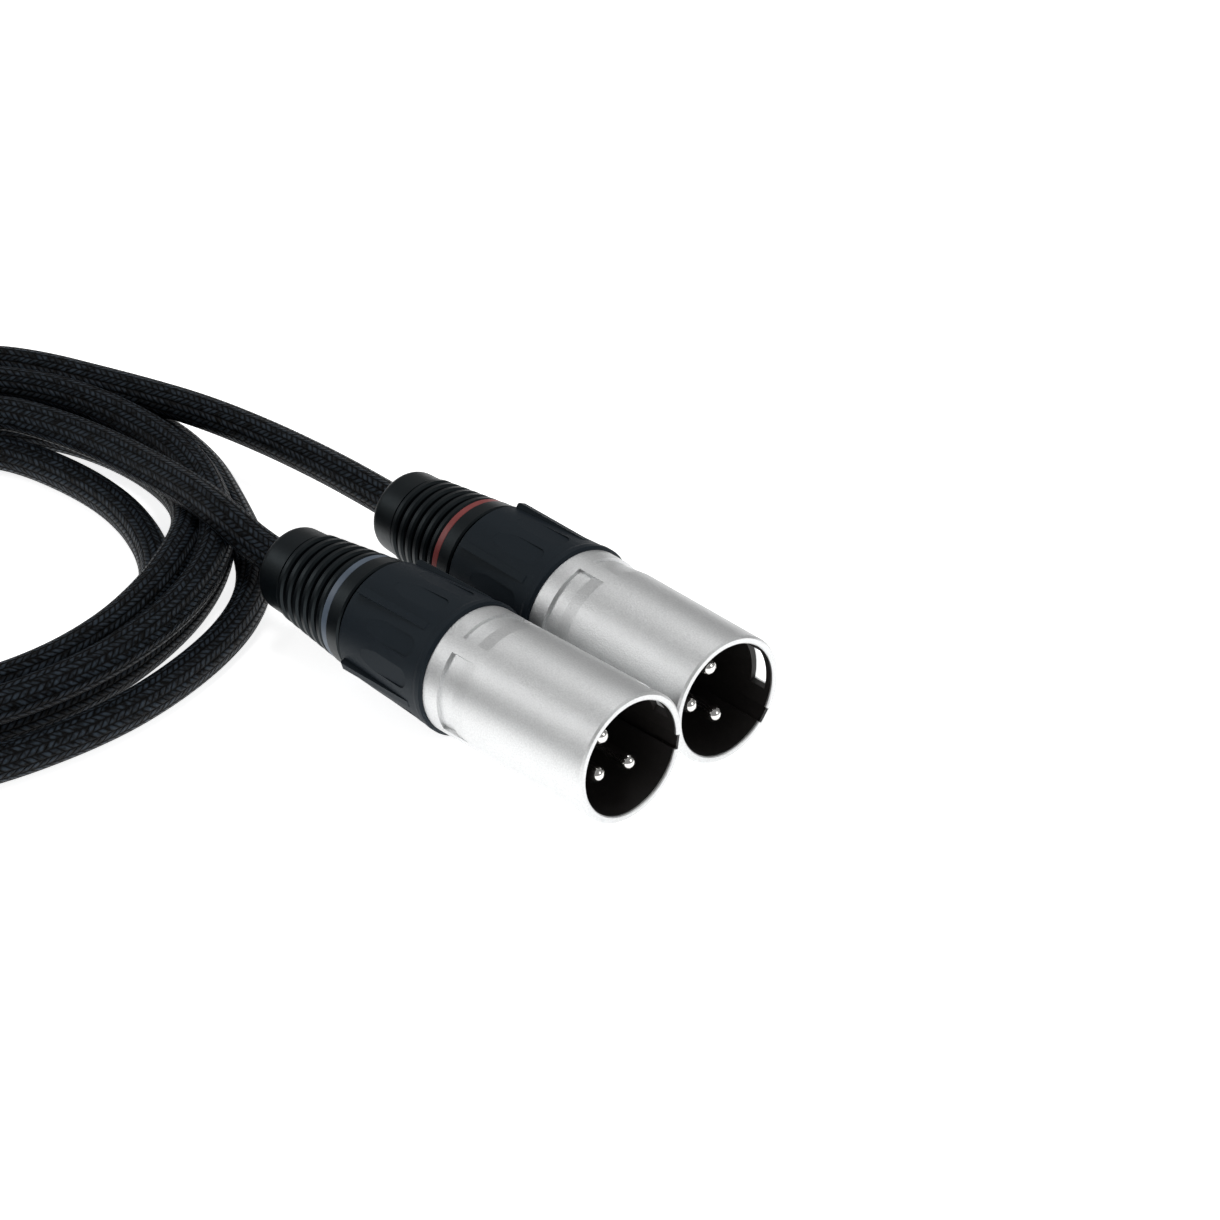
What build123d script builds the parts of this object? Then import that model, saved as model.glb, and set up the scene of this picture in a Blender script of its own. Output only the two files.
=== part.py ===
from build123d import *
import math
import os

# A stereo pair of braided microphone cables with three-pole connectors, coiled on a flat surface.
# Millimetres. +Z is up and Z = 0 is the surface. +X is the way all four connectors point.
# A connector is drawn along its own X axis: mouth at x = 0, body towards -x, and its latch side at +Y.

# ---- connector front ends ----
shell_radius = 9.5
shell_wall = 1.1
male_shell_length = 31.0
female_shell_length = 36.0
shell_edge = 0.3
cavity_depth = 15.5
nose_length = 15.5
nose_clearance = 0.35
nose_wall = 0.85
spigot_step = 1.2
spigot_length = 10.0
spigot_bore_radius = 7.0

# ---- decorative bands cast around the male barrel, with bridges across them ----
band_starts = (23.0, 25.4)
band_end = 28.1
band_depths = (0.26, 0.50)
bridge_width = 2.4
bridge_count = 4
bridge_angle = 87.5

# ---- latch window and key of the male mouth ----
window_from_mouth = 1.4
window_length = 2.8
window_width = 6.6
key_angle = -46.0
key_width = 2.2
key_depth = 0.45
key_clearance = 0.2

# ---- contacts: one opposite the latch, two square to it ----
contact_angles = (180.0, 90.0, -90.0)
contact_circle_radius = 4.1
pin_radius = 1.2
pin_setback = 2.35
pin_root_radius = 1.5
pin_root_clearance = 0.02
insert_boss_height = 0.6
insert_clearance = 0.05
insert_length = 12.0
ground_slot_depth = 0.9
ground_slot_angle = 45.0
ground_spring_thickness = 0.25
ground_spring_width = 2.4
cup_radius = 1.4
cup_bore_radius = 0.85
cup_length = 4.6
cup_bore_depth = 3.2
socket_wall = 0.5
socket_bore_clearance = 0.05
socket_front_wall = 1.0
socket_length = 15.0

# ---- clamping nut ----
nut_length = 18.5
nut_front_step = 0.5
nut_rear_step = 0.6
nut_lip = 1.1
nut_edge = 0.35
nut_rear_wall = 2.1
nut_bore_clearance = 0.15
rib_count = 5
rib_width = 1.1
rib_start = 1.1
rib_length = 14.5
rib_height_drop = 0.12
dimple_width = 3.0
dimple_length = 10.2
dimple_depth = 0.38
dimple_rear_depth = 0.04
dimple_spread = 14.0
dimple_middle = 10.2

# ---- rubber boot and colour ring ----
boot_gap = 0.5
boot_neck_radius = 5.9
boot_flange_radius = 6.7
boot_band_length = 2.6
boot_front_radius = 8.55
ring_seat_depth = 0.9
ring_width = 1.4
ring_proud = 0.05
ring_side_gap = 0.1
boot_rib_count = 6
boot_rib_pitch = 1.98
boot_groove_width = 0.75
boot_groove_depth = 0.95
boot_rib_front_radius = 8.1
boot_rib_rear_radius = 6.95
boot_collar_length = 5.3
boot_collar_radius = 6.6
boot_collar_rounding = 1.5
boot_bore_clearance = 0.0

# ---- cable clamp and cable end inside ----
clamp_clearance = 0.2
clamp_length = 12.5
clamp_setback = 2.4
clamp_mouth_radius = 5.6
clamp_grip_length = 6.0
clamp_slit_width = 0.9
clamp_slit_count = 4
core_radius = 0.62
core_spread = 1.35
cable_diameter = 5.4
cable_end_setback = 3.9

# ---- latch lever of the female connector ----
lever_width = 5.2
lever_side_gap = 0.3
lever_thickness = 1.2
lever_top = 6.35
lever_hook_from_mouth = 10.6
lever_hook_length = 2.6
lever_hook_height = 8.75
button_from_shoulder = 2.4
button_length = 8.8
button_height = 10.25
button_end_gap = 0.35
button_rounding = 0.6
grip_groove_count = 5
pivot_from_shoulder = 14.6
pivot_height = 4.9
pivot_pin_radius = 0.75
pivot_clearance = 0.05
pivot_pin_length = 8.6
lug_radius = 1.55
channel_floor = 3.0
channel_end_gap = 2.6
spring_thickness = 0.3
spring_width = 2.6
spring_tip_gap = 0.05

# ---- where the connectors lie: mouth centre, heading in the plane, roll about its own axis ----
male_a_mouth = (56.5, 56.5)
male_a_heading = 0.0
male_a_roll = 38.0
male_b_mouth_x = 55.3
male_pair_gap = 0.4
male_b_heading = -2.8
male_b_roll = 8.5
female_mouth_x = 19.05
female_a_y = -56.7
female_pair_gap = 2.2
female_roll = 90.0
nut_turn = {"male_a": 125.0, "male_b": 137.0, "female_a": 25.0, "female_b": 61.0}

# ---- the coil of turns: outer and inner oval of the bundle, as half widths along X and Y ----
coil_outer_centre = (-62.7, 18.2)
coil_outer_half = (54.0, 62.8)
coil_inner_centre = (-59.7, 15.0)
coil_inner_half = (36.2, 39.5)
coil_height = 11.5
coil_outer_slope = 6.0
coil_inner_slope = 3.0
coil_foot_rounding = 1.8

# ---- loose cable: a straight piece out of each boot, then on into the coil ----
lead_a_first_run = 9.4
lead_a_route = [(-29.4, 57.4, 11.2), (-38.6, 59.1, 11.0)]
lead_b_first_run = 12.6
lead_b_route = [
    (-37.5, 80.7, 9.2), (-51.0, 80.6, 8.6), (-63.5, 79.4, 8.2), (-74.5, 76.9, 7.9), (-84.3, 73.7, 7.9)]
tail_a_first_run = 12.0
tail_a_route = [
    (-77.6, -53.4, 9.5), (-87.6, -47.4, 9.0), (-95.2, -38.3, 8.5), (-99.6, -26.8, 7.7), (-101.2, -14.6, 7.0),
]
tail_b_first_run = 13.0
tail_b_route = [
    (-80.5, -74.9, 7.8), (-92.5, -68.5, 5.1), (-102.5, -58.6, 3.4), (-109.6, -46.0, 3.0), (-113.3, -31.8, 4.2),
    (-114.0, -17.0, 6.4), (-113.0, -2.4, 8.0), (-110.2, 11.4, 7.6),
]
run_share = 0.45

# ---- sizes worked out from the ones above ----
nut_front_radius = shell_radius + nut_front_step
nut_rear_radius = shell_radius - nut_rear_step
male_b_mouth = (male_b_mouth_x, male_a_mouth[1] + 2 * shell_radius + male_pair_gap)
female_b_y = female_a_y - 2 * shell_radius - female_pair_gap
cavity_radius = shell_radius - shell_wall
nose_radius = cavity_radius - nose_clearance
nose_bore_radius = nose_radius - nose_wall
spigot_radius = shell_radius - spigot_step
cable_radius = cable_diameter / 2
axis_height = nut_front_radius
socket_radius = pin_radius + socket_bore_clearance + socket_wall
nut_slope = (nut_front_radius - nut_rear_radius) / nut_length
small = 0.01


def turned(corners):
    """Solid of revolution about X from (x, radius) corners."""
    return revolve(make_face(Polyline(*corners, close=True)), Axis.X, 360)


def rod(x0, x1, radius):
    """Round bar along X."""
    return turned([(x0, 0), (x0, radius), (x1, radius), (x1, 0)])


def pipe(x0, x1, outer, inner):
    """Round tube along X."""
    return turned([(x0, inner), (x0, outer), (x1, outer), (x1, inner)])


def block(x0, x1, y0, y1, z0, z1):
    """Box between two corners."""
    return Pos((x0 + x1) / 2, (y0 + y1) / 2, (z0 + z1) / 2) * Box(abs(x1 - x0), abs(y1 - y0), abs(z1 - z0))


def around(shape, angle):
    """The shape turned about the connector's axis."""
    return Rot(angle, 0, 0) * shape


def on_contacts(shape, angles=contact_angles):
    """Copies of a shape drawn on the axis, moved out to each contact's place."""
    return [around(Pos(0, contact_circle_radius, 0) * shape, angle) for angle in angles]


def male_shell():
    mouth = [
        (-spigot_length - male_shell_length, spigot_bore_radius),
        (-spigot_length - male_shell_length, spigot_radius),
        (-male_shell_length, spigot_radius),
        (-male_shell_length, shell_radius),
        (-shell_edge, shell_radius),
        (0, shell_radius - shell_edge),
        (0, cavity_radius + shell_edge / 2),
        (-shell_edge / 2, cavity_radius),
        (-cavity_depth - insert_length, cavity_radius),
        (-cavity_depth - insert_length, spigot_bore_radius),
    ]
    fade = band_depths[0] / (band_starts[1] - band_starts[0])
    bands = turned([
        (-band_end, shell_radius + 0.5), (-band_end, shell_radius - band_depths[1]),
        (-band_starts[1], shell_radius - band_depths[1]), (-band_starts[1], shell_radius - band_depths[0]),
        (-band_starts[0] + 1.5, shell_radius + 1.5 * fade), (-band_starts[0] + 1.5, shell_radius + 0.5),
    ])
    bridge = block(-band_end - 1, -band_starts[0] + 2, 0, shell_radius + 1, -bridge_width / 2, bridge_width / 2)
    for k in range(bridge_count):
        bands = bands - around(bridge, bridge_angle + k * 360 / bridge_count)
    window = block(-window_from_mouth - window_length, -window_from_mouth, 0, shell_radius + 1,
                   -window_width / 2, window_width / 2)
    key = block(-cavity_depth, 1, cavity_radius - 1, cavity_radius + key_depth, -key_width / 2, key_width / 2)
    return turned(mouth) - bands - window - around(key, key_angle)


def male_insert():
    back = -cavity_depth - insert_length
    disc = turned([
        (back, 0), (back, cavity_radius - insert_clearance - 0.4),
        (back + 0.4, cavity_radius - insert_clearance), (-cavity_depth, cavity_radius - insert_clearance),
        (-cavity_depth, 0),
    ])
    boss = rod(-cavity_depth - small, -cavity_depth + insert_boss_height, pin_root_radius + 0.6)
    for one in on_contacts(boss):
        disc = disc + one
    for one in on_contacts(rod(back - 1, 0, pin_root_radius + pin_root_clearance)):
        disc = disc - one
    slot = block(back + 1.0, -cavity_depth - 1.0, cavity_radius - ground_slot_depth, cavity_radius + 1, -1.6, 1.6)
    return disc - around(slot, ground_slot_angle)


def male_pin():
    back = -cavity_depth - insert_length
    tip = -pin_setback
    nib = Pos(tip - pin_radius, 0, 0) * Sphere(pin_radius)
    root = rod(back, -cavity_depth + insert_boss_height, pin_root_radius)
    shank = rod(-cavity_depth, tip - pin_radius, pin_radius)
    cup = rod(back - cup_length, back, cup_radius)
    cup = cup - rod(back - cup_length - 1, back - cup_length + cup_bore_depth, cup_bore_radius)
    half = block(back - cup_length - 1, back - cup_length + cup_bore_depth, 0.2, 3, -3, 3)
    return root + shank + nib + cup - half


def ground_spring():
    """Thin bowed strip in a slot of the insert, bearing on the shell's bore."""
    middle = -cavity_depth - insert_length / 2
    half = insert_length / 2 - 1.4
    low = cavity_radius - ground_slot_depth
    top = cavity_radius - 0.12
    t = ground_spring_thickness
    strip = [
        (middle - half, low), (middle - half + 1, low), (middle - half * 0.35, top - t),
        (middle + half * 0.35, top - t), (middle + half - 1, low), (middle + half, low),
        (middle + half, low + t), (middle + half - 1, low + t), (middle + half * 0.35, top),
        (middle - half * 0.35, top), (middle - half + 1, low + t), (middle - half, low + t),
    ]
    strip = extrude(make_face(Polyline(*strip, close=True)), ground_spring_width / 2, both=True)
    return around(strip, ground_slot_angle)


def nut(shoulder, turn):
    back = shoulder - nut_length
    bore = spigot_radius + nut_bore_clearance
    cone_bottom = back + nut_rear_wall
    body = turned([
        (back, boot_neck_radius + 0.1), (back, nut_rear_radius - nut_edge), (back + nut_edge, nut_rear_radius),
        (shoulder - nut_lip - 0.5, nut_rear_radius + nut_slope * (nut_length - nut_lip - 0.9)),
        (shoulder - nut_lip, nut_front_radius), (shoulder - nut_edge, nut_front_radius),
        (shoulder, nut_front_radius - nut_edge), (shoulder, bore), (shoulder - spigot_length - 0.3, bore),
        (shoulder - spigot_length - 1.5, spigot_bore_radius + 0.1), (cone_bottom, spigot_bore_radius + 0.1),
        (cone_bottom, boot_neck_radius + 0.1),
    ])
    rib_top = nut_front_radius - rib_height_drop
    rib = block(back + rib_start, back + rib_start + rib_length, bore + 0.15, rib_top,
                -rib_width / 2, rib_width / 2)
    rib = fillet(rib.edges().filter_by(Axis.Z).group_by(Axis.Y)[-1], 0.45)
    fall = (dimple_depth - dimple_rear_depth) / dimple_length
    tilt = math.degrees(math.atan(nut_slope - fall))
    floor = nut_rear_radius + nut_slope * dimple_middle - (dimple_depth + dimple_rear_depth) / 2
    dimple = extrude(Rot(-90, 0, 0) * SlotOverall(dimple_length, dimple_width), 2, dir=(0, 1, 0))
    dimple = Pos(back + dimple_middle, floor, 0) * Rot(0, 0, tilt) * dimple
    for k in range(rib_count):
        angle = turn + k * 360 / rib_count
        middle = angle + 180 / rib_count
        body = body + around(rib, angle)
        for side in (-dimple_spread, dimple_spread):
            body = body - around(dimple, middle + side)
    return body


def boot(shoulder):
    back_of_nut = shoulder - nut_length
    inside = back_of_nut + nut_rear_wall
    flange_front = shoulder - clamp_setback - clamp_length
    face = back_of_nut - boot_gap
    ring_front = face - boot_band_length
    seat = ring_width + 2 * ring_side_gap
    ribs_front = ring_front - seat
    drop = (boot_rib_front_radius - boot_rib_rear_radius) / (boot_rib_count - 1)
    corners = [
        (flange_front, 0), (flange_front, boot_flange_radius), (inside, boot_flange_radius),
        (inside, boot_neck_radius), (face, boot_neck_radius),
        (face, boot_front_radius - 0.25), (face - 0.25, boot_front_radius),
        (ring_front, boot_front_radius - 0.2), (ring_front, boot_rib_front_radius - ring_seat_depth),
        (ribs_front, boot_rib_front_radius - ring_seat_depth),
    ]
    for k in range(boot_rib_count):
        top = boot_rib_front_radius - drop * k
        front = ribs_front - k * boot_rib_pitch
        rear = front - boot_rib_pitch + boot_groove_width
        corners += [(front, top - 0.3), (front - 0.3, top), (rear + 0.3, top - 0.05), (rear, top - 0.35)]
        if k < boot_rib_count - 1:
            corners += [(rear - 0.12, top - boot_groove_depth), (rear - boot_groove_width + 0.12, top - boot_groove_depth)]
    collar = ribs_front - boot_rib_count * boot_rib_pitch + boot_groove_width
    end = collar - boot_collar_length
    corners += [(collar, boot_collar_radius - 0.45), (collar - 0.25, boot_collar_radius),
                (end, boot_collar_radius - 0.25), (end, 0)]
    body = turned(corners)
    rim = body.edges().filter_by(GeomType.CIRCLE).filter_by(lambda e: abs(e.center().X - end) < small)
    body = fillet(rim, boot_collar_rounding)
    return body - rod(end - 1, inside + 5, cable_radius + boot_bore_clearance), end


def colour_ring(shoulder):
    front = shoulder - nut_length - boot_gap - boot_band_length - ring_side_gap
    seat = boot_rib_front_radius - ring_seat_depth
    top = boot_rib_front_radius + ring_proud
    return turned([
        (front, seat + 0.02), (front, top - 0.2), (front - 0.2, top),
        (front - ring_width + 0.2, top), (front - ring_width, top - 0.2), (front - ring_width, seat + 0.02),
    ])


def clamp(shoulder):
    """Split collet that grips the cable between the shell and the nut."""
    front = shoulder - clamp_setback
    back = front - clamp_length
    radius = spigot_bore_radius - clamp_clearance
    body = turned([
        (front, clamp_mouth_radius), (front, radius), (back + 1.2, radius), (back, radius - 1.2),
        (back, cable_radius), (back + clamp_grip_length, cable_radius),
        (back + clamp_grip_length + 1.5, clamp_mouth_radius),
    ])
    slit = block(back - 1, back + clamp_grip_length - 0.5, 0, radius + 1, -clamp_slit_width / 2, clamp_slit_width / 2)
    for k in range(clamp_slit_count):
        body = body - around(slit, 45 + k * 360 / clamp_slit_count)
    return body


def cable_end(shoulder, cup_back, boot_end, angles):
    """Stub of the cable inside the boot and clamp, with its cores led to the solder cups."""
    front = shoulder - clamp_setback - clamp_length + clamp_grip_length
    jacket = rod(boot_end + cable_end_setback, front, cable_radius)
    solids = [jacket]
    reach = cup_back + 1.2
    for angle in angles:
        path = FilletPolyline(
            (front, core_spread, 0), (front + (reach - front) * 0.3, core_spread, 0),
            (front + (reach - front) * 0.72, contact_circle_radius, 0), (reach, contact_circle_radius, 0),
            radius=1.2,
        )
        start = Plane(origin=(front, core_spread, 0), x_dir=(0, 1, 0), z_dir=(1, 0, 0))
        solids.append(around(sweep(start * Circle(core_radius), path), angle))
    return Compound(children=solids)


def female_shell():
    shoulder = -nose_length
    back = -female_shell_length
    shell = turned([
        (back - spigot_length, spigot_bore_radius), (back - spigot_length, spigot_radius), (back, spigot_radius),
        (back, shell_radius), (shoulder - shell_edge, shell_radius), (shoulder, shell_radius - shell_edge),
        (shoulder, nose_radius), (-shell_edge, nose_radius), (0, nose_radius - shell_edge),
        (0, nose_bore_radius), (back + 2.0, nose_bore_radius), (back + 2.0, spigot_bore_radius),
    ])
    ridge = block(-nose_length, -1.0, nose_radius - 0.4, cavity_radius + key_depth - key_clearance,
                  -key_width / 2 + key_clearance, key_width / 2 - key_clearance)
    shell = shell + around(ridge, -key_angle)
    half = lever_width / 2 + lever_side_gap
    hook_front = -lever_hook_from_mouth + 0.6
    slot_back = min(shoulder, -lever_hook_from_mouth - lever_hook_length - lever_side_gap)
    hook_slot = block(slot_back, hook_front, 0, shell_radius + 2, -half, half)
    front = shoulder - button_from_shoulder + button_end_gap
    button_slot = block(front - button_length - 2 * button_end_gap, front, 0, shell_radius + 2, -half, half)
    return shell - hook_slot - button_slot


def female_insert():
    back = -female_shell_length + 2.0
    radius = nose_bore_radius - insert_clearance
    body = rod(back, -0.4, radius)
    for one in on_contacts(rod(-socket_front_wall - socket_length, -socket_front_wall, socket_radius + 0.02)):
        body = body - one
    for one in on_contacts(rod(-socket_front_wall - 1, 1, pin_radius + socket_bore_clearance)):
        body = body - one
    for one in on_contacts(rod(back - 1, -socket_length, cup_radius + 0.05)):
        body = body - one
    half = lever_width / 2 + lever_side_gap
    channel_back = -nose_length - pivot_from_shoulder - channel_end_gap
    body = body - block(channel_back, -lever_hook_from_mouth + 1.2, channel_floor, radius + 1, -half, half)
    pivot_x = -nose_length - pivot_from_shoulder
    hole = Pos(pivot_x, pivot_height, 0) * Cylinder(pivot_pin_radius + 0.01, pivot_pin_length)
    return body - hole


def female_socket():
    front = -socket_front_wall
    back = front - socket_length
    body = pipe(back, front, socket_radius, pin_radius + socket_bore_clearance)
    floor = rod(back, back + 1.5, socket_radius)
    cup_end = -female_shell_length + 2.0 - cup_length
    cup = rod(cup_end, back, cup_radius)
    cup = cup - rod(cup_end - 1, cup_end + cup_bore_depth, cup_bore_radius)
    half = block(cup_end - 1, cup_end + cup_bore_depth, 0.2, 3, -3, 3)
    slit = block(front - 6, front + 1, -3, 3, -0.2, 0.2)
    return (body - slit) + floor + cup - half


def latch_lever():
    pivot_x = -nose_length - pivot_from_shoulder
    hook_front = -lever_hook_from_mouth
    low = lever_top - lever_thickness
    button_front = -nose_length - button_from_shoulder
    button_back = button_front - button_length
    side = [
        (pivot_x, low), (pivot_x, lever_top), (button_back, lever_top), (button_back, button_height - button_rounding),
        (button_back + button_rounding, button_height), (button_front - button_rounding, button_height),
        (button_front, button_height - button_rounding), (button_front, lever_top),
        (hook_front - lever_hook_length, lever_top), (hook_front - lever_hook_length, lever_hook_height),
        (hook_front - 1.2, lever_hook_height), (hook_front, lever_top + 0.4), (hook_front, low),
    ]
    body = extrude(make_face(Polyline(*side, close=True)), lever_width / 2, both=True)
    lug = Pos(pivot_x, pivot_height, 0) * Cylinder(lug_radius, lever_width - 0.4)
    body = body + lug
    pitch = (button_length - 2.4) / (grip_groove_count - 1)
    for k in range(grip_groove_count):
        x = button_back + 1.2 + k * pitch
        body = body - Pos(x, button_height + 0.25, 0) * Cylinder(0.5, lever_width - 1.2)
    return body - Pos(pivot_x, pivot_height, 0) * Cylinder(pivot_pin_radius + pivot_clearance, lever_width + 2)


def latch_pin():
    pivot_x = -nose_length - pivot_from_shoulder
    return Pos(pivot_x, pivot_height, 0) * Cylinder(pivot_pin_radius, pivot_pin_length)


def latch_spring():
    """Leaf under the button, lying on the channel floor and rising to the lever."""
    low = lever_top - lever_thickness - spring_tip_gap
    back = -nose_length - pivot_from_shoulder + 3.0
    tip = -nose_length - button_from_shoulder - 1.5
    t = spring_thickness
    floor = channel_floor
    leaf = [
        (back, floor), (back + 3.0, floor), (tip - 1.5, low - t), (tip, low - t - 0.35),
        (tip, low - 0.35), (tip - 1.6, low), (back + 2.7, floor + t), (back, floor + t),
    ]
    return extrude(make_face(Polyline(*leaf, close=True)), spring_width / 2, both=True)


def cable_tube(name, connector, exit_run, route):
    """Plain tube: straight out of the boot, then runs joined by arcs as large as the runs allow."""
    place, boot_end = exits[connector]
    inside = place * Pos(boot_end + cable_end_setback, 0, 0)
    outside = place * Pos(boot_end + cable_end_setback - exit_run, 0, 0)
    points = [inside.position, outside.position] + [Vector(*p) for p in route]
    radii = []
    for before, here, after in zip(points, points[1:], points[2:]):
        run_in = here - before
        run_out = after - here
        turn = math.radians(run_in.get_angle(run_out))
        radii.append(run_share * min(run_in.length, run_out.length) / math.tan(turn / 2))
    path = FilletPolyline(*points, radius=radii)
    start = Plane(origin=points[0], z_dir=(points[1] - points[0]).normalized())
    tube = sweep(start * Circle(cable_radius), path)
    section = math.pi * cable_radius ** 2
    print(name, "length", round(path.length, 1), "volume / section x length",
          round(tube.volume / (section * path.length), 4), "radii", [round(r) for r in radii])
    return tube


def oval(centre, half):
    """A straight-sided oval, its half widths along X and Y given, drawn on the floor."""
    return Pos(*centre) * SlotOverall(2 * half[1], 2 * half[0], rotation=90)


def coil_bundle():
    """Outer shape of the wound turns: a low oval ring whose hole is a little off centre."""
    ring = extrude(oval(coil_outer_centre, coil_outer_half), coil_height)
    ring = chamfer(ring.faces().sort_by(Axis.Z)[-1].outer_wire().edges(), coil_outer_slope)
    ring = fillet(ring.faces().sort_by(Axis.Z)[0].outer_wire().edges(), coil_foot_rounding)
    ring -= extrude(oval(coil_inner_centre, coil_inner_half), coil_height)
    return chamfer(ring.faces().sort_by(Axis.Z)[-1].inner_wires()[0].edges(), coil_inner_slope)


def male(name, mouth, heading, roll, nut_angle):
    place = Pos(*mouth, axis_height) * Rot(0, 0, heading)
    rolled = place * Rot(roll, 0, 0)
    shoulder = -male_shell_length
    rubber, boot_end = boot(shoulder)
    exits[name] = (place, boot_end)
    cup_back = -cavity_depth - insert_length - cup_length
    pins = Compound(children=on_contacts(male_pin()))
    return {
        f"{name}_shell": rolled * male_shell(),
        f"{name}_insert": rolled * male_insert(),
        f"{name}_pins": rolled * pins,
        f"{name}_ground_spring": rolled * ground_spring(),
        f"{name}_clamp": rolled * clamp(shoulder),
        f"{name}_cable_end": rolled * cable_end(shoulder, cup_back, boot_end, contact_angles),
        f"{name}_nut": place * nut(shoulder, nut_angle),
        f"{name}_boot": place * rubber,
        f"{name}_colour_ring": place * colour_ring(shoulder),
    }


def female(name, mouth, heading, roll, nut_angle):
    place = Pos(*mouth, axis_height) * Rot(0, 0, heading)
    rolled = place * Rot(roll, 0, 0)
    shoulder = -female_shell_length
    rubber, boot_end = boot(shoulder)
    exits[name] = (place, boot_end)
    cup_back = -female_shell_length + 2.0 - cup_length
    sockets = Compound(children=on_contacts(female_socket()))
    return {
        f"{name}_shell": rolled * female_shell(),
        f"{name}_insert": rolled * female_insert(),
        f"{name}_sockets": rolled * sockets,
        f"{name}_latch": rolled * latch_lever(),
        f"{name}_latch_pin": rolled * latch_pin(),
        f"{name}_latch_spring": rolled * latch_spring(),
        f"{name}_clamp": rolled * clamp(shoulder),
        f"{name}_cable_end": rolled * cable_end(shoulder, cup_back, boot_end, contact_angles),
        f"{name}_nut": place * nut(shoulder, nut_angle),
        f"{name}_boot": place * rubber,
        f"{name}_colour_ring": place * colour_ring(shoulder),
    }


exits = {}
nodes = {}
nodes.update(male("male_a", male_a_mouth, male_a_heading, male_a_roll, nut_turn["male_a"]))
nodes.update(male("male_b", male_b_mouth, male_b_heading, male_b_roll, nut_turn["male_b"]))
nodes.update(female("female_a", (female_mouth_x, female_a_y), 0.0, female_roll, nut_turn["female_a"]))
nodes.update(female("female_b", (female_mouth_x, female_b_y), 0.0, female_roll, nut_turn["female_b"]))
nodes["cable_coil"] = coil_bundle()
nodes["cable_a_lead"] = cable_tube("cable_a_lead", "male_a", lead_a_first_run, lead_a_route)
nodes["cable_b_lead"] = cable_tube("cable_b_lead", "male_b", lead_b_first_run, lead_b_route)
nodes["cable_a_tail"] = cable_tube("cable_a_tail", "female_a", tail_a_first_run, tail_a_route)
nodes["cable_b_tail"] = cable_tube("cable_b_tail", "female_b", tail_b_first_run, tail_b_route)

os.makedirs("parts", exist_ok=True)
for name, shape in nodes.items():
    export_step(shape, f"parts/{name}.step")
print(len(nodes), "nodes written")
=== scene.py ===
# %% [markdown]
# # A coiled stereo pair of microphone cables
# Two braided cables lie wound together on a table. This file takes the machined and moulded
# parts as they come from the CAD model, and adds what CAD leaves out: the two real cables,
# the yarn of their braid, and a finish for every metal, plastic and rubber piece.
# Lengths are metres, +Z is up, and the connectors point along +X.

# %% Load the CAD frame
import math

import bmesh
import bpy
from mathutils import Matrix, Vector


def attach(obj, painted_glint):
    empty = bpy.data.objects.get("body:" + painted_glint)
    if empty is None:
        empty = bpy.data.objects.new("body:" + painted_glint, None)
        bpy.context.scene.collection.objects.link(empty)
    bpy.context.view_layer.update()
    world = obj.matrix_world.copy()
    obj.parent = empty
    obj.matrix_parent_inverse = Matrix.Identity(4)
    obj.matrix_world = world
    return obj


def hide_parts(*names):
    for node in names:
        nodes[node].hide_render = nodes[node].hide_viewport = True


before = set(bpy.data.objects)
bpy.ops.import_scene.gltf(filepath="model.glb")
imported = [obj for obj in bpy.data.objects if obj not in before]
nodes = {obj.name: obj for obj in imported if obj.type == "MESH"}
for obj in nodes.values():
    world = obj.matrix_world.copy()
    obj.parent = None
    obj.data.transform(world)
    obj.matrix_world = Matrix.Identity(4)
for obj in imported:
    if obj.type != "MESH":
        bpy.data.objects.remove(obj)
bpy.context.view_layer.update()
print("CAD pieces:", len(nodes))

# %% [markdown]
# ## Camera
# A product shot taken from some way off with a long lens, so the coil hardly narrows with
# distance. The camera looks down at about thirty degrees, over the mouths of the two plugs.

# %% Place the camera
MM = 0.001
eye = Vector((336.6, -219.1, 268.8)) * MM
gaze = Vector((-0.6156, 0.5968, -0.5146))

camera_data = bpy.data.cameras.new("shot")
camera_data.lens = 105
camera_data.sensor_width = 36
camera_data.clip_end = 20
camera = bpy.data.objects.new("shot", camera_data)
bpy.context.scene.collection.objects.link(camera)
camera.matrix_world = Matrix.Translation(eye) @ gaze.to_track_quat("-Z", "Y").to_matrix().to_4x4()
bpy.context.scene.camera = camera

# %% [markdown]
# ## The route of each cable
# A cable is one smooth curve from the plug at one end to the plug at the other. Near the plugs
# its points are the ones the CAD tubes use. In the coil each point is an angle around the
# coil's middle, a distance from it and a height, which is how one lays a turn by hand: beside
# the last one, on top of it, or over it. The turns here all differ, so their places are set one
# by one, and a NURBS curve of order three rounds them off. On the side away from the connectors
# the whole coil is pushed in a little, which makes it an oval.

# %% Points around the coil
coil_middle = Vector((-64.5, 16.5, 0))
cable_radius = 2.7 * MM
pressed_in = 14


def eased(a):
    """0 to 1 to 0 along a turn: 1 on the side away from the connectors."""
    up = min(max((a % 360 - 110) / 70, 0), 1)
    down = min(max((a % 360 - 190) / 100, 0), 1)
    return up * up * (3 - 2 * up) * (1 - down * down * (3 - 2 * down))


def laid(turns):
    """Points in millimetres from (degrees along the cable, radius, height), in a coil pressed oval."""
    return [coil_middle + Vector((r * math.cos(math.radians(a)) + pressed_in * eased(a),
                                  r * math.sin(math.radians(a)), z)) for a, r, z in turns]


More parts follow.
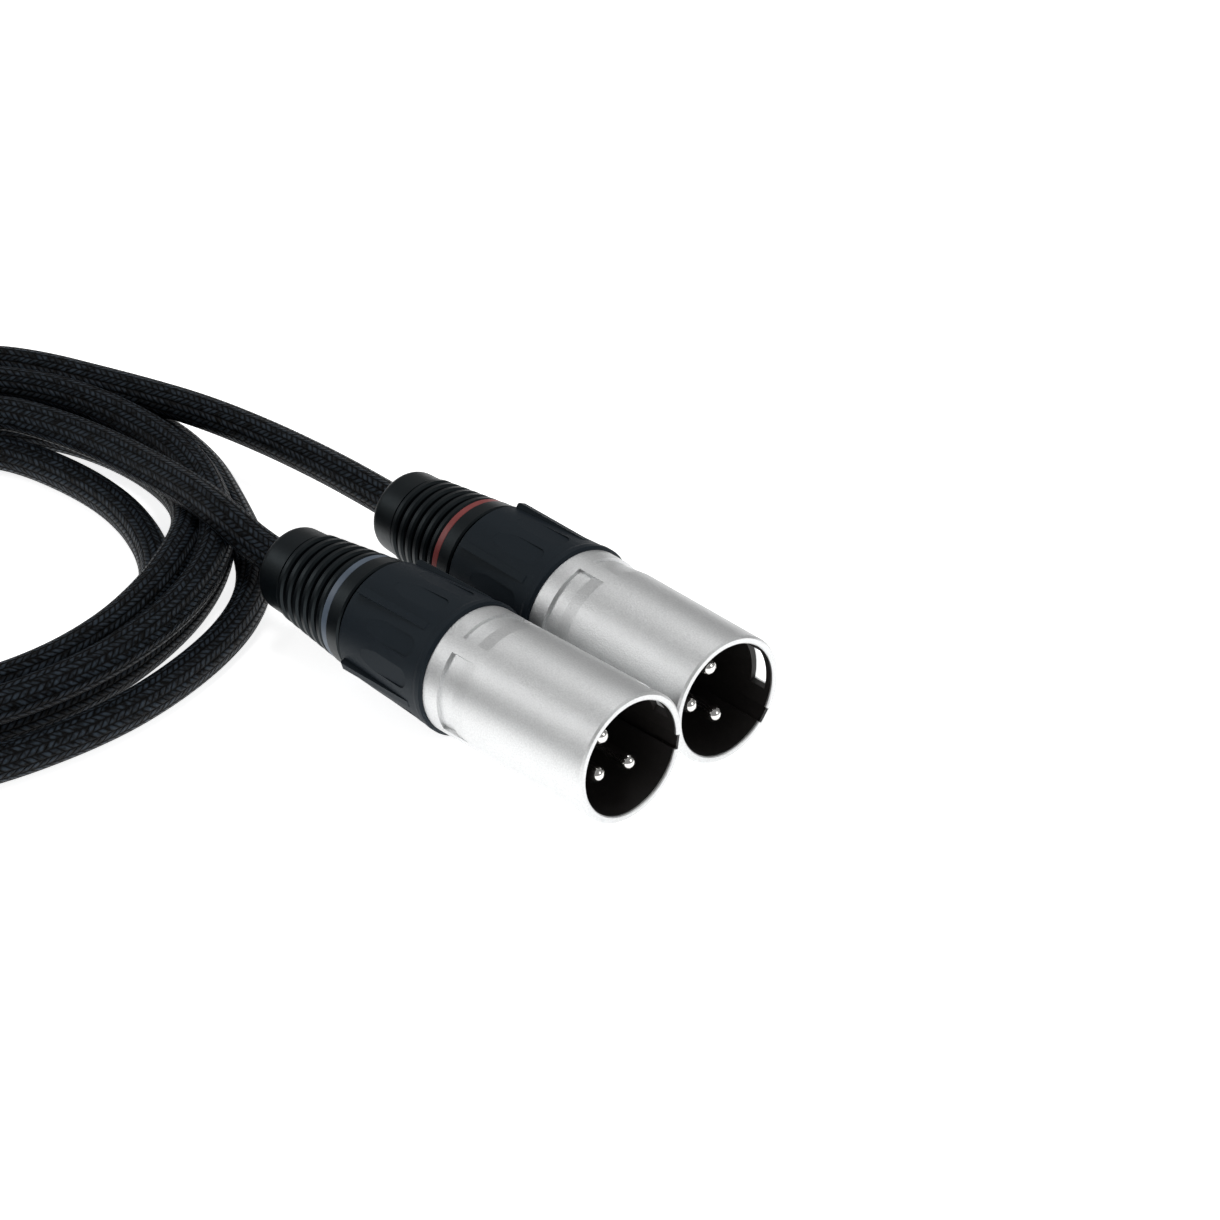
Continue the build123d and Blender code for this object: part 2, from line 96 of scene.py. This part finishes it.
# %% Cable A: onto the top layer, down to the floor, twice round, and out over the others
a_start = [(-10.17, 56.5, 10), (-19.57, 56.5, 10), (-29.4, 57.4, 11.2), (-38.6, 59.1, 11.0),
           (-52.5, 60.7, 9.6), (-66.2, 61.3, 8.4), (-76.6, 60.0, 8.0), (-86.0, 57.0, 7.9)]
a_top = laid([
    (136, 45.6, 7.9), (153, 47.0, 8.0), (170, 47.8, 8.1), (187, 47.9, 8.1), (202, 47.4, 8.6),
    (216, 47.0, 10.8), (230, 46.9, 13.3), (245, 46.5, 12.0), (261, 46.1, 8.9), (279, 46.0, 7.8),
    (298, 45.7, 7.7), (318, 45.4, 7.7), (338, 45.2, 7.7), (357, 45.3, 7.7), (375, 45.3, 7.7),
    (392, 45.6, 7.7), (406, 46.6, 7.2), (418, 48.4, 5.8), (430, 50.0, 3.9), (442, 50.9, 2.9),
])
a_second = laid([
    (456, 51.1, 2.8), (470, 51.0, 2.8), (486, 50.2, 2.8), (504, 49.0, 2.8), (524, 48.4, 2.8),
    (546, 48.9, 2.8), (570, 49.7, 2.8), (590, 50.1, 2.8), (610, 50.1, 2.8), (630, 49.9, 2.8),
    (650, 49.6, 2.8), (670, 49.3, 2.8), (690, 48.9, 2.8), (710, 48.6, 2.8), (730, 48.7, 2.8),
    (750, 49.6, 2.8), (766, 51.2, 2.8), (780, 53.0, 3.1), (794, 54.9, 2.9), (810, 56.3, 2.8),
    (826, 56.5, 2.8), (842, 55.4, 2.8),
])
a_third = laid([
    (862, 53.9, 2.8), (882, 53.5, 2.8), (900, 53.5, 3.1), (915, 53.3, 5.1), (930, 51.8, 7.9),
    (945, 49.1, 8.4), (960, 46.1, 7.1), (975, 44.2, 4.3), (992, 43.7, 2.9), (1012, 43.9, 2.8),
    (1032, 44.2, 2.8), (1052, 44.4, 2.8), (1072, 44.5, 2.8), (1092, 44.6, 2.8), (1112, 44.6, 2.8),
    (1128, 43.6, 2.8), (1143, 42.2, 2.8), (1158, 41.4, 2.8), (1174, 41.1, 2.8), (1192, 42.2, 2.8),
])
a_out = laid([(1208, 43.0, 2.9), (1222, 42.0, 4.2), (1236, 41.4, 7.6), (1248, 42.6, 11.4),
              (1258, 45.6, 13.5), (1268, 49.2, 13.6), (1278, 53.0, 11.9)])
a_end = [(-101.2, -14.6, 9.2), (-99.6, -26.8, 8.5), (-95.2, -38.3, 8.5), (-87.6, -47.4, 9.0),
         (-77.6, -53.4, 9.5), (-64.62, -56.7, 10), (-52.62, -56.7, 10)]
route_a = a_start + a_top + a_second + a_third + a_out + a_end

# %% Cable B: in along the top of the far side, down to the floor, a turn on it, a turn over it, and out
b_start = [(-11.29, 79.16, 10), (-23.88, 79.77, 10), (-37.5, 80.7, 9.2), (-51.0, 80.6, 8.6),
           (-63.5, 79.4, 8.2), (-74.5, 76.9, 7.9), (-84.3, 73.7, 7.9)]
b_floor = laid([
    (118, 61.5, 7.9), (128, 63.2, 7.9), (140, 64.6, 7.4), (150, 65.2, 5.9), (160, 64.3, 4.0),
    (171, 63.5, 2.9), (184, 63.4, 2.8), (200, 63.6, 2.8), (220, 63.1, 2.8), (240, 62.2, 2.8),
    (260, 61.0, 2.8), (280, 59.5, 2.8), (300, 58.6, 2.8), (320, 57.8, 2.8), (340, 57.2, 2.8),
    (360, 56.6, 2.8), (375, 56.8, 2.8), (390, 57.9, 2.8), (403, 58.3, 2.8), (416, 57.0, 2.8),
    (429, 56.6, 2.8), (443, 58.9, 2.8), (458, 61.4, 2.8), (474, 62.5, 2.8), (490, 61.6, 2.8),
    (506, 60.4, 2.8), (520, 58.6, 2.8), (536, 58.0, 2.8),
])
b_top = laid([
    (552, 58.2, 2.8), (572, 58.2, 2.8), (592, 57.6, 2.8), (612, 56.4, 2.8), (632, 54.9, 2.8),
    (652, 53.6, 3.4), (670, 52.4, 5.6), (687, 51.0, 7.3), (704, 50.4, 7.7), (722, 50.4, 7.7),
    (740, 50.8, 7.6), (756, 51.6, 7.4), (770, 52.4, 7.4), (784, 53.0, 7.7), (798, 53.5, 7.9),
    (814, 53.8, 7.9), (830, 55.2, 7.9), (846, 56.5, 7.8), (860, 57.0, 7.9), (874, 57.8, 8.4),
    (888, 59.2, 8.8),
])
b_end = [(-110.6, 11.4, 8.6), (-113.2, -2.4, 8.4), (-114.0, -17.0, 6.4), (-113.3, -31.8, 4.2),
         (-109.6, -46.0, 3.0), (-102.5, -58.6, 3.4), (-92.5, -68.5, 5.1), (-80.5, -74.9, 7.8),
         (-65.62, -77.9, 10), (-52.62, -77.9, 10)]
route_b = b_start + b_floor + b_top + b_end

# %% [markdown]
# ## From a route to a cable
# The curve object is only a guide: its evaluated points give the line, and a round tube is
# swept along it. Each ring of the tube is written into a UV map, once round in U and the true
# distance along the cable in V, so the braid keeps its size in the tight and the wide turns.

# %% Sweep a tube along a smooth guide
ring_sides = 28


def guide_curve(name, route, bevel):
    """A NURBS curve through the route's hull, bevelled into a tube where bevel isn't 0."""
    curve = bpy.data.curves.new(name, "CURVE")
    curve.dimensions = "3D"
    curve.resolution_u = 9
    curve.bevel_depth = bevel
    curve.bevel_resolution = ring_sides // 2 - 2
    spline = curve.splines.new("NURBS")
    spline.points.add(len(route) - 1)
    for point, place in zip(spline.points, route):
        point.co = (*(Vector(place) * MM), 1)
    spline.order_u = 3
    spline.use_endpoint_u = True
    return bpy.data.objects.new(name, curve)


def line_of(name, route):
    """The guide's own points and the distance along it to each."""
    mesh = bpy.data.meshes.new_from_object(guide_curve(name, route, 0))
    line = [v.co.copy() for v in mesh.vertices]
    far = [0.0]
    for a, b in zip(line, line[1:]):
        far.append(far[-1] + (b - a).length)
    return line, far


def braided_tube(name, route):
    line, far = line_of(name + "_line", route)
    mesh = bpy.data.meshes.new_from_object(guide_curve(name + "_guide", route, cable_radius))
    sides = len(mesh.vertices) // len(line)
    uv = mesh.uv_layers.new(name="yarn") if not mesh.uv_layers else mesh.uv_layers[0]
    uv.name = "yarn"
    for face in mesh.polygons:
        face.use_smooth = True
        turns = [mesh.loops[i].vertex_index % sides for i in face.loop_indices]
        wraps = max(turns) - min(turns) > 1
        for i in face.loop_indices:
            ring, side = divmod(mesh.loops[i].vertex_index, sides)
            around = side + (sides if wraps and side == 0 else 0)
            uv.data[i].uv = (around / sides, far[ring])
    tube = bpy.data.objects.new(name, mesh)
    bpy.context.scene.collection.objects.link(tube)
    print(name, "length", round(far[-1], 4), "faces", len(mesh.polygons), "sides", sides)
    return tube, line, far


cable_a, line_a, far_a = braided_tube("cable_a", route_a)
cable_b, line_b, far_b = braided_tube("cable_b", route_b)

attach(cable_a, "cables")
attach(cable_b, "cables")
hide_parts("cable_a_lead", "cable_a_tail", "cable_coil")
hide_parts("cable_b_lead", "cable_b_tail")

# %% [markdown]
# ## Writing shader maths
# A finish is mostly arithmetic on coordinates. The small class below wraps one output socket,
# so `1 - mask * 0.4` adds the Math nodes by itself. Every other node comes from `node`.

# %% A wrapped socket and a finish


class Value:
    """One output of a node tree that can be added, multiplied and so on."""

    def __init__(self, finish, socket):
        self.finish, self.socket = finish, socket

    def math(self, operation, *others, clamp=False):
        settings = {"operation": operation, "use_clamp": clamp}
        return self.finish.node("Math", settings, dict(enumerate((self,) + others)))

    def __add__(self, other):
        return self.math("ADD", other)

    def __radd__(self, other):
        return self.math("ADD", other)

    def __sub__(self, other):
        return self.math("SUBTRACT", other)

    def __rsub__(self, other):
        return self.finish.number(other).math("SUBTRACT", self)

    def __mul__(self, other):
        return self.math("MULTIPLY", other)

    def __rmul__(self, other):
        return self.math("MULTIPLY", other)

    def __truediv__(self, other):
        return self.math("DIVIDE", other)

    def __pow__(self, other):
        return self.math("POWER", other)

    def __lt__(self, other):
        return self.math("LESS_THAN", other)

    def __gt__(self, other):
        return self.math("GREATER_THAN", other)

    def fraction(self):
        return self.math("FRACT")

    def whole(self):
        return self.math("FLOOR")

    def size(self):
        return self.math("ABSOLUTE")

    def sine(self):
        return self.math("SINE")

    def kept(self):
        return self.math("ADD", 0.0, clamp=True)


class Finish:
    """A material with one Principled shader."""

    def __init__(self, name, **sockets):
        self.material = bpy.data.materials.new(name)
        self.material.use_nodes = True
        self.tree = self.material.node_tree
        self.shader = self.tree.nodes["Principled BSDF"]
        for socket, value in sockets.items():
            self.set(socket.replace("_", " "), value)

    def set(self, socket, value):
        target = self.shader.inputs[socket]
        if isinstance(value, Value):
            self.tree.links.new(value.socket, target)
        else:
            target.default_value = value

    def node(self, kind, settings=None, sockets=None, out=0):
        made = self.tree.nodes.new("ShaderNode" + kind)
        for name, value in (settings or {}).items():
            setattr(made, name, value)
        for name, value in (sockets or {}).items():
            if isinstance(value, Value):
                self.tree.links.new(value.socket, made.inputs[name])
            else:
                made.inputs[name].default_value = value
        return Value(self, made.outputs[out])

    def number(self, value):
        made = self.tree.nodes.new("ShaderNodeValue")
        made.outputs[0].default_value = value
        return Value(self, made.outputs[0])

    def place(self):
        return self.node("TexCoord", out="Object")

    def noise(self, size, detail=2.0, where=None, **settings):
        """Noise with features about size metres across."""
        sockets = {"Scale": 1 / size, "Detail": detail, "Vector": where or self.place()}
        return self.node("TexNoise", settings, sockets)

    def blend(self, amount, first, second):
        """A colour between two colours."""
        mix = self.tree.nodes.new("ShaderNodeMix")
        mix.data_type = "RGBA"
        sockets = [s for s in mix.inputs if s.type == "RGBA"]
        factor = mix.inputs["Factor"]
        for target, value in ((factor, amount), (sockets[0], first), (sockets[1], second)):
            if isinstance(value, Value):
                self.tree.links.new(value.socket, target)
            else:
                target.default_value = value
        return Value(self, [s for s in mix.outputs if s.type == "RGBA"][0])

    def bump(self, height, distance, strength=1.0):
        sockets = {"Height": height, "Distance": distance, "Strength": strength}
        return self.node("Bump", None, sockets)


def grey(value, tint=(1, 1, 1)):
    return (value * tint[0], value * tint[1], value * tint[2], 1)


# %% [markdown]
# ## The braid
# The sleeve is woven from flat ends of black yarn. Seen from the side it makes columns of short
# slanted stitches, leaning one way in one column and the other way in the next. The UV map
# gives the column (round the cable) and the stitch (along it), and each stitch gets a rounded
# profile, fine fibres along its length, and a dark gap on every side.

# %% Make the braid finish
columns = 16
stitch = 1.25 * MM
slant = 1.0

braid = Finish("braided_yarn", Metallic=0.0, Specular_IOR_Level=0.10)
where = braid.node("UVMap", {"uv_map": "yarn"})
split = braid.node("SeparateXYZ", None, {0: where})
across = split * columns
along = Value(braid, split.socket.node.outputs[1]) / stitch
column = across.whole()
in_column = across.fraction()
lean = (column * 0.5).fraction() * 4 - 1
phase = along + lean * (in_column - 0.5) * slant + (column * 0.5).fraction()
in_stitch = phase.fraction()
side_fall = 1 - (in_column * 2 - 1).size() ** 2.6
stitch_fall = 1 - (in_stitch * 2 - 1).size() ** 2.2
crown = (side_fall * stitch_fall).math("MAXIMUM", 0.0) ** 0.6
fibre_row = (in_stitch * 7 + in_column * lean * 1.1)
fibre = (fibre_row * 6.2832).sine() * 0.5 + 0.5
wander = braid.noise(1.7 * MM, 2.0)
# spots where the painted glints show on the stitch crowns
glint_spots = braid.noise(0.9 * MM, 1.0)
height = crown + fibre * 0.10 + wander * 0.15
braid.set("Normal", braid.bump(height, 0.42 * MM, 1.0))
# painted glints: on stitch crowns, in scattered spots, the colour turns a lighter blue-grey that stands
# in for highlights
painted_glint = (crown - 0.4).math("MAXIMUM", 0.0) * 1.7 * (0.4 + fibre * 0.6) * (glint_spots * 3.4 - 1.1).kept()
braid.set("Base Color", braid.blend(painted_glint.kept(), grey(0.0006), grey(0.075, (0.72, 0.98, 1.30))))
braid.set("Roughness", 0.70 - crown * 0.34 - fibre * 0.06)
cable_a.data.materials.append(braid.material)
cable_b.data.materials.append(braid.material)

# %% [markdown]
# ## Die-cast shell
# Zinc castings plated with satin nickel. Up close the plating is finely speckled, because the
# casting was bead-blasted first, so the light breaks up into a grain rather than a mirror.
# The shade deep in each male shell's bore is painted in as a colour: every point nearer the
# shell's axis than a set radius, and behind the mouth, turns black and stops being metal.

# %% Satin nickel


def satin_nickel(name, mouth=None, heading=0.0):
    """Speckled nickel. With a mouth given, the bore behind it is painted black as shade."""
    made = Finish(name, Metallic=1.0)
    grain = made.noise(0.24 * MM, 3.0)
    cloud = made.noise(6 * MM, 2.0)
    colour = made.blend(grain, grey(0.60, (0.985, 0.995, 1.0)), grey(0.90, (0.99, 1.0, 1.0)))
    rough = 0.38 + grain * 0.12 + cloud * 0.06
    if mouth:
        split = made.node("SeparateXYZ", None, {0: made.place()})
        x, y, z = (Value(made, split.socket.node.outputs[k]) for k in range(3))
        x, y, z = x - mouth[0], y - mouth[1], z - mouth[2]
        turn = math.radians(heading)
        ahead = x * math.cos(turn) + y * math.sin(turn)
        aside = y * math.cos(turn) - x * math.sin(turn)
        in_bore = (ahead < -0.4 * MM) * (ahead > -bore_shade_length)
        # painted shade: points inside the bore behind the mouth turn near-black and lose their metal,
        # standing in for the shadow in the mouth
        bore_shade = (aside * aside + z * z < bore_shade_radius ** 2) * in_bore
        colour = made.blend(bore_shade, colour, grey(0.006, (1.3, 1.0, 0.9)))
        made.set("Metallic", 1 - bore_shade)
        rough = rough + bore_shade * 0.12
    made.set("Base Color", colour)
    made.set("Roughness", rough)
    made.set("Normal", made.bump(grain, 0.05 * MM, 0.8))
    return made


# radius and depth of the painted shade inside each male shell's bore
bore_shade_radius = 9.25 * MM
bore_shade_length = 16 * MM
nickel = satin_nickel("satin_nickel")
bore_shaded_shell = {
    "male_a_shell": satin_nickel("satin_nickel_a", Vector((56.5, 56.5, 10)) * MM),
    "male_b_shell": satin_nickel("satin_nickel_b", Vector((55.3, 75.9, 10)) * MM, -2.8),
}

# %% Bright contacts, gold sockets and the latch
bright = Finish("bright_contact", Metallic=1.0, Base_Color=grey(0.80, (1.0, 0.985, 0.96)))
bright.set("Roughness", 0.10 + bright.noise(0.5 * MM) * 0.08)

gold = Finish("gold_contact", Metallic=1.0, Base_Color=(0.86, 0.62, 0.27, 1))
gold.set("Roughness", 0.16 + gold.noise(0.5 * MM) * 0.10)

# %% [markdown]
# ## Plastics and rubber
# Three blacks sit side by side and must not look the same: the nut is a hard matt plastic with
# a sparked texture and a blue cast, the boot is softer and glossier, the insert is plain.

# %% Sparked nut plastic
nut_finish = Finish("sparked_nut_plastic", Specular_IOR_Level=0.24, Specular_Tint=(0.80, 0.95, 1.0, 1))
spark = nut_finish.noise(0.16 * MM, 3.0)
spark_dark, spark_light = grey(0.0062, (0.58, 1.0, 1.60)), grey(0.0120, (0.62, 1.0, 1.55))
nut_finish.set("Base Color", nut_finish.blend(spark, spark_dark, spark_light))
nut_finish.set("Roughness", 0.50 + spark * 0.16)
nut_finish.set("Normal", nut_finish.bump(spark, 0.03 * MM, 0.6))

# %% Satin boot rubber
rubber = Finish("satin_boot_rubber", Specular_IOR_Level=0.30, Specular_Tint=(0.78, 0.94, 1.0, 1))
mottle = rubber.noise(0.8 * MM, 3.0)
rubber.set("Base Color", rubber.blend(mottle, grey(0.0016, (0.6, 1, 1.5)), grey(0.0030, (0.6, 1, 1.5))))
rubber.set("Roughness", 0.34 + mottle * 0.14)
rubber.set("Normal", rubber.bump(mottle, 0.03 * MM, 0.35))

# %% Insert, clamp and colour rings


def moulded(name, dark, light, rough):
    """A plain moulded plastic with a faint mottle."""
    made = Finish(name)
    flow = made.noise(1.2 * MM, 3.0)
    made.set("Base Color", made.blend(flow, dark, light))
    made.set("Roughness", rough + flow * 0.10)
    made.set("Normal", made.bump(flow, 0.02 * MM, 0.3))
    return made


insert_finish = moulded("insert_plastic", grey(0.0035, (1.25, 1, 0.9)), grey(0.007, (1.25, 1, 0.9)), 0.5)
clamp_finish = moulded("clamp_plastic", grey(0.016), grey(0.024), 0.5)
grey_ring = moulded("grey_ring_plastic", (0.078, 0.104, 0.142, 1), (0.100, 0.130, 0.172, 1), 0.38)
red_ring = moulded("red_ring_plastic", (0.22, 0.036, 0.034, 1), (0.27, 0.046, 0.043, 1), 0.38)

# %% Dress the CAD pieces
finish_of = {
    "shell": nickel, "latch": nickel, "insert": insert_finish, "pins": bright, "sockets": gold,
    "ground_spring": bright, "latch_pin": bright, "latch_spring": bright, "clamp": clamp_finish,
    "nut": nut_finish, "boot": rubber, "cable_end": clamp_finish,
}
for name, piece in nodes.items():
    kind = name.split("_", 2)[-1]
    if kind == "colour_ring":
        made = grey_ring if "_a_" in name else red_ring
    else:
        made = bore_shaded_shell.get(name) or finish_of.get(kind)
    if made:
        piece.data.materials.clear()
        piece.data.materials.append(made.material)

# %% [markdown]
# ## Studio
# A white floor that gives off some light itself, and three soft boxes. The floor goes to pure
# white, the shadows stay faint, and the metal carries long soft reflections.

# %% White floor
bm = bmesh.new()
bmesh.ops.create_grid(bm, x_segments=1, y_segments=1, size=4)
floor_mesh = bpy.data.meshes.new("white_floor")
bm.to_mesh(floor_mesh)
bm.free()
floor = bpy.data.objects.new("white_floor", floor_mesh)
bpy.context.scene.collection.objects.link(floor)
paper = Finish("white_paper", Base_Color=grey(0.9), Roughness=0.9, Specular_IOR_Level=0.0,
               Emission_Color=grey(1.0), Emission_Strength=0.84)
floor_mesh.materials.append(paper.material)

# %% Lights
world = bpy.data.worlds.new("white_room")
world.use_nodes = True
world.node_tree.nodes["Background"].inputs["Color"].default_value = (1, 1, 1, 1)
world.node_tree.nodes["Background"].inputs["Strength"].default_value = 0.26
bpy.context.scene.world = world


def soft_light(name, place, target, width, height, power):
    data = bpy.data.lights.new(name, "AREA")
    data.shape = "RECTANGLE"
    data.size, data.size_y = width, height
    data.energy = power
    lamp = bpy.data.objects.new(name, data)
    bpy.context.scene.collection.objects.link(lamp)
    aim = Vector(target) - Vector(place)
    turned = aim.to_track_quat("-Z", "Y").to_matrix().to_4x4()
    lamp.matrix_world = Matrix.Translation(Vector(place)) @ turned


soft_light("top_box", (-0.10, 0.25, 0.95), (-0.02, 0.03, 0), 0.5, 0.5, 3.6)
soft_light("left_box", (-0.70, -0.55, 0.60), (-0.03, 0.03, 0), 0.4, 0.4, 1.6)
soft_light("right_box", (0.85, 0.35, 0.45), (0.0, 0.05, 0), 0.35, 0.35, 1.2)

bpy.context.scene.view_settings.view_transform = "Standard"
